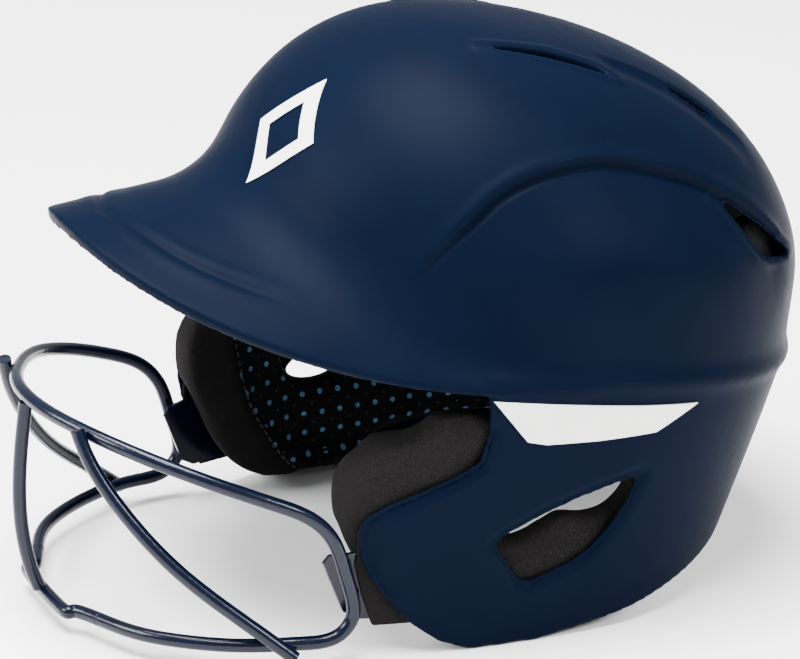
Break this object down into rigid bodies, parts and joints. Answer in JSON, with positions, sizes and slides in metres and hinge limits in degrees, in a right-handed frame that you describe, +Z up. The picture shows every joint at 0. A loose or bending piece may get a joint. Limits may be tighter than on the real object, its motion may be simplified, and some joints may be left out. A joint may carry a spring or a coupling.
{
  "type": "batting helmet with face guard",
  "caption": "Brimmed ball-game helmet with two ear flaps, vents, padded ear cushions, fitted liner and a bolted wire guard over the lower face.",
  "frame": {"origin": "centre of the helmet's box in plan, on the plane that the ear flaps' feet stand on", "axes": "+Z up, the wearer faces -Y, +X towards the wearer's left; x = 0 is the plane of symmetry"},
  "size_m": [0.212, 0.2959, 0.2041],
  "materials": {
    "shell_plastic": "matte navy moulded plastic",
    "white_print": "smooth pale film",
    "steel": "plated",
    "brass": "turned",
    "coated_wire": "glossy dark navy coating",
    "dotted_lining": "knitted lining with small blue dots",
    "foam": "closed-cell foam",
    "pad_fabric": "black woven wrap"
  },
  "bodies": {
    "root": {"badge_left": "white_print", "badge_right": "white_print", "bracket_rivets": "steel", "bracket_sleeve_left": "pad_fabric", "bracket_sleeve_right": "pad_fabric", "brow_pad": "pad_fabric", "crown_liner": "foam", "crown_pad_left": "pad_fabric", "crown_pad_right": "pad_fabric", "ear_lining_left": "dotted_lining", "ear_lining_right": "dotted_lining", "ear_pad_base_left": "foam", "ear_pad_base_right": "foam", "ear_pad_left": "pad_fabric", "ear_pad_right": "pad_fabric", "front_emblem": "white_print", "mask_bracket_left": "coated_wire", "mask_bracket_right": "coated_wire", "mask_centre_bar": "coated_wire", "mask_hoop": "coated_wire", "mask_screws": "steel", "mask_strut_left": "coated_wire", "mask_strut_right": "coated_wire", "nape_pad": "pad_fabric", "rear_liner": "foam", "screw_washers": "steel", "shell": "shell_plastic", "temple_pad_left": "pad_fabric", "temple_pad_right": "pad_fabric", "threaded_inserts": "brass"}
  },
  "joints": []
}
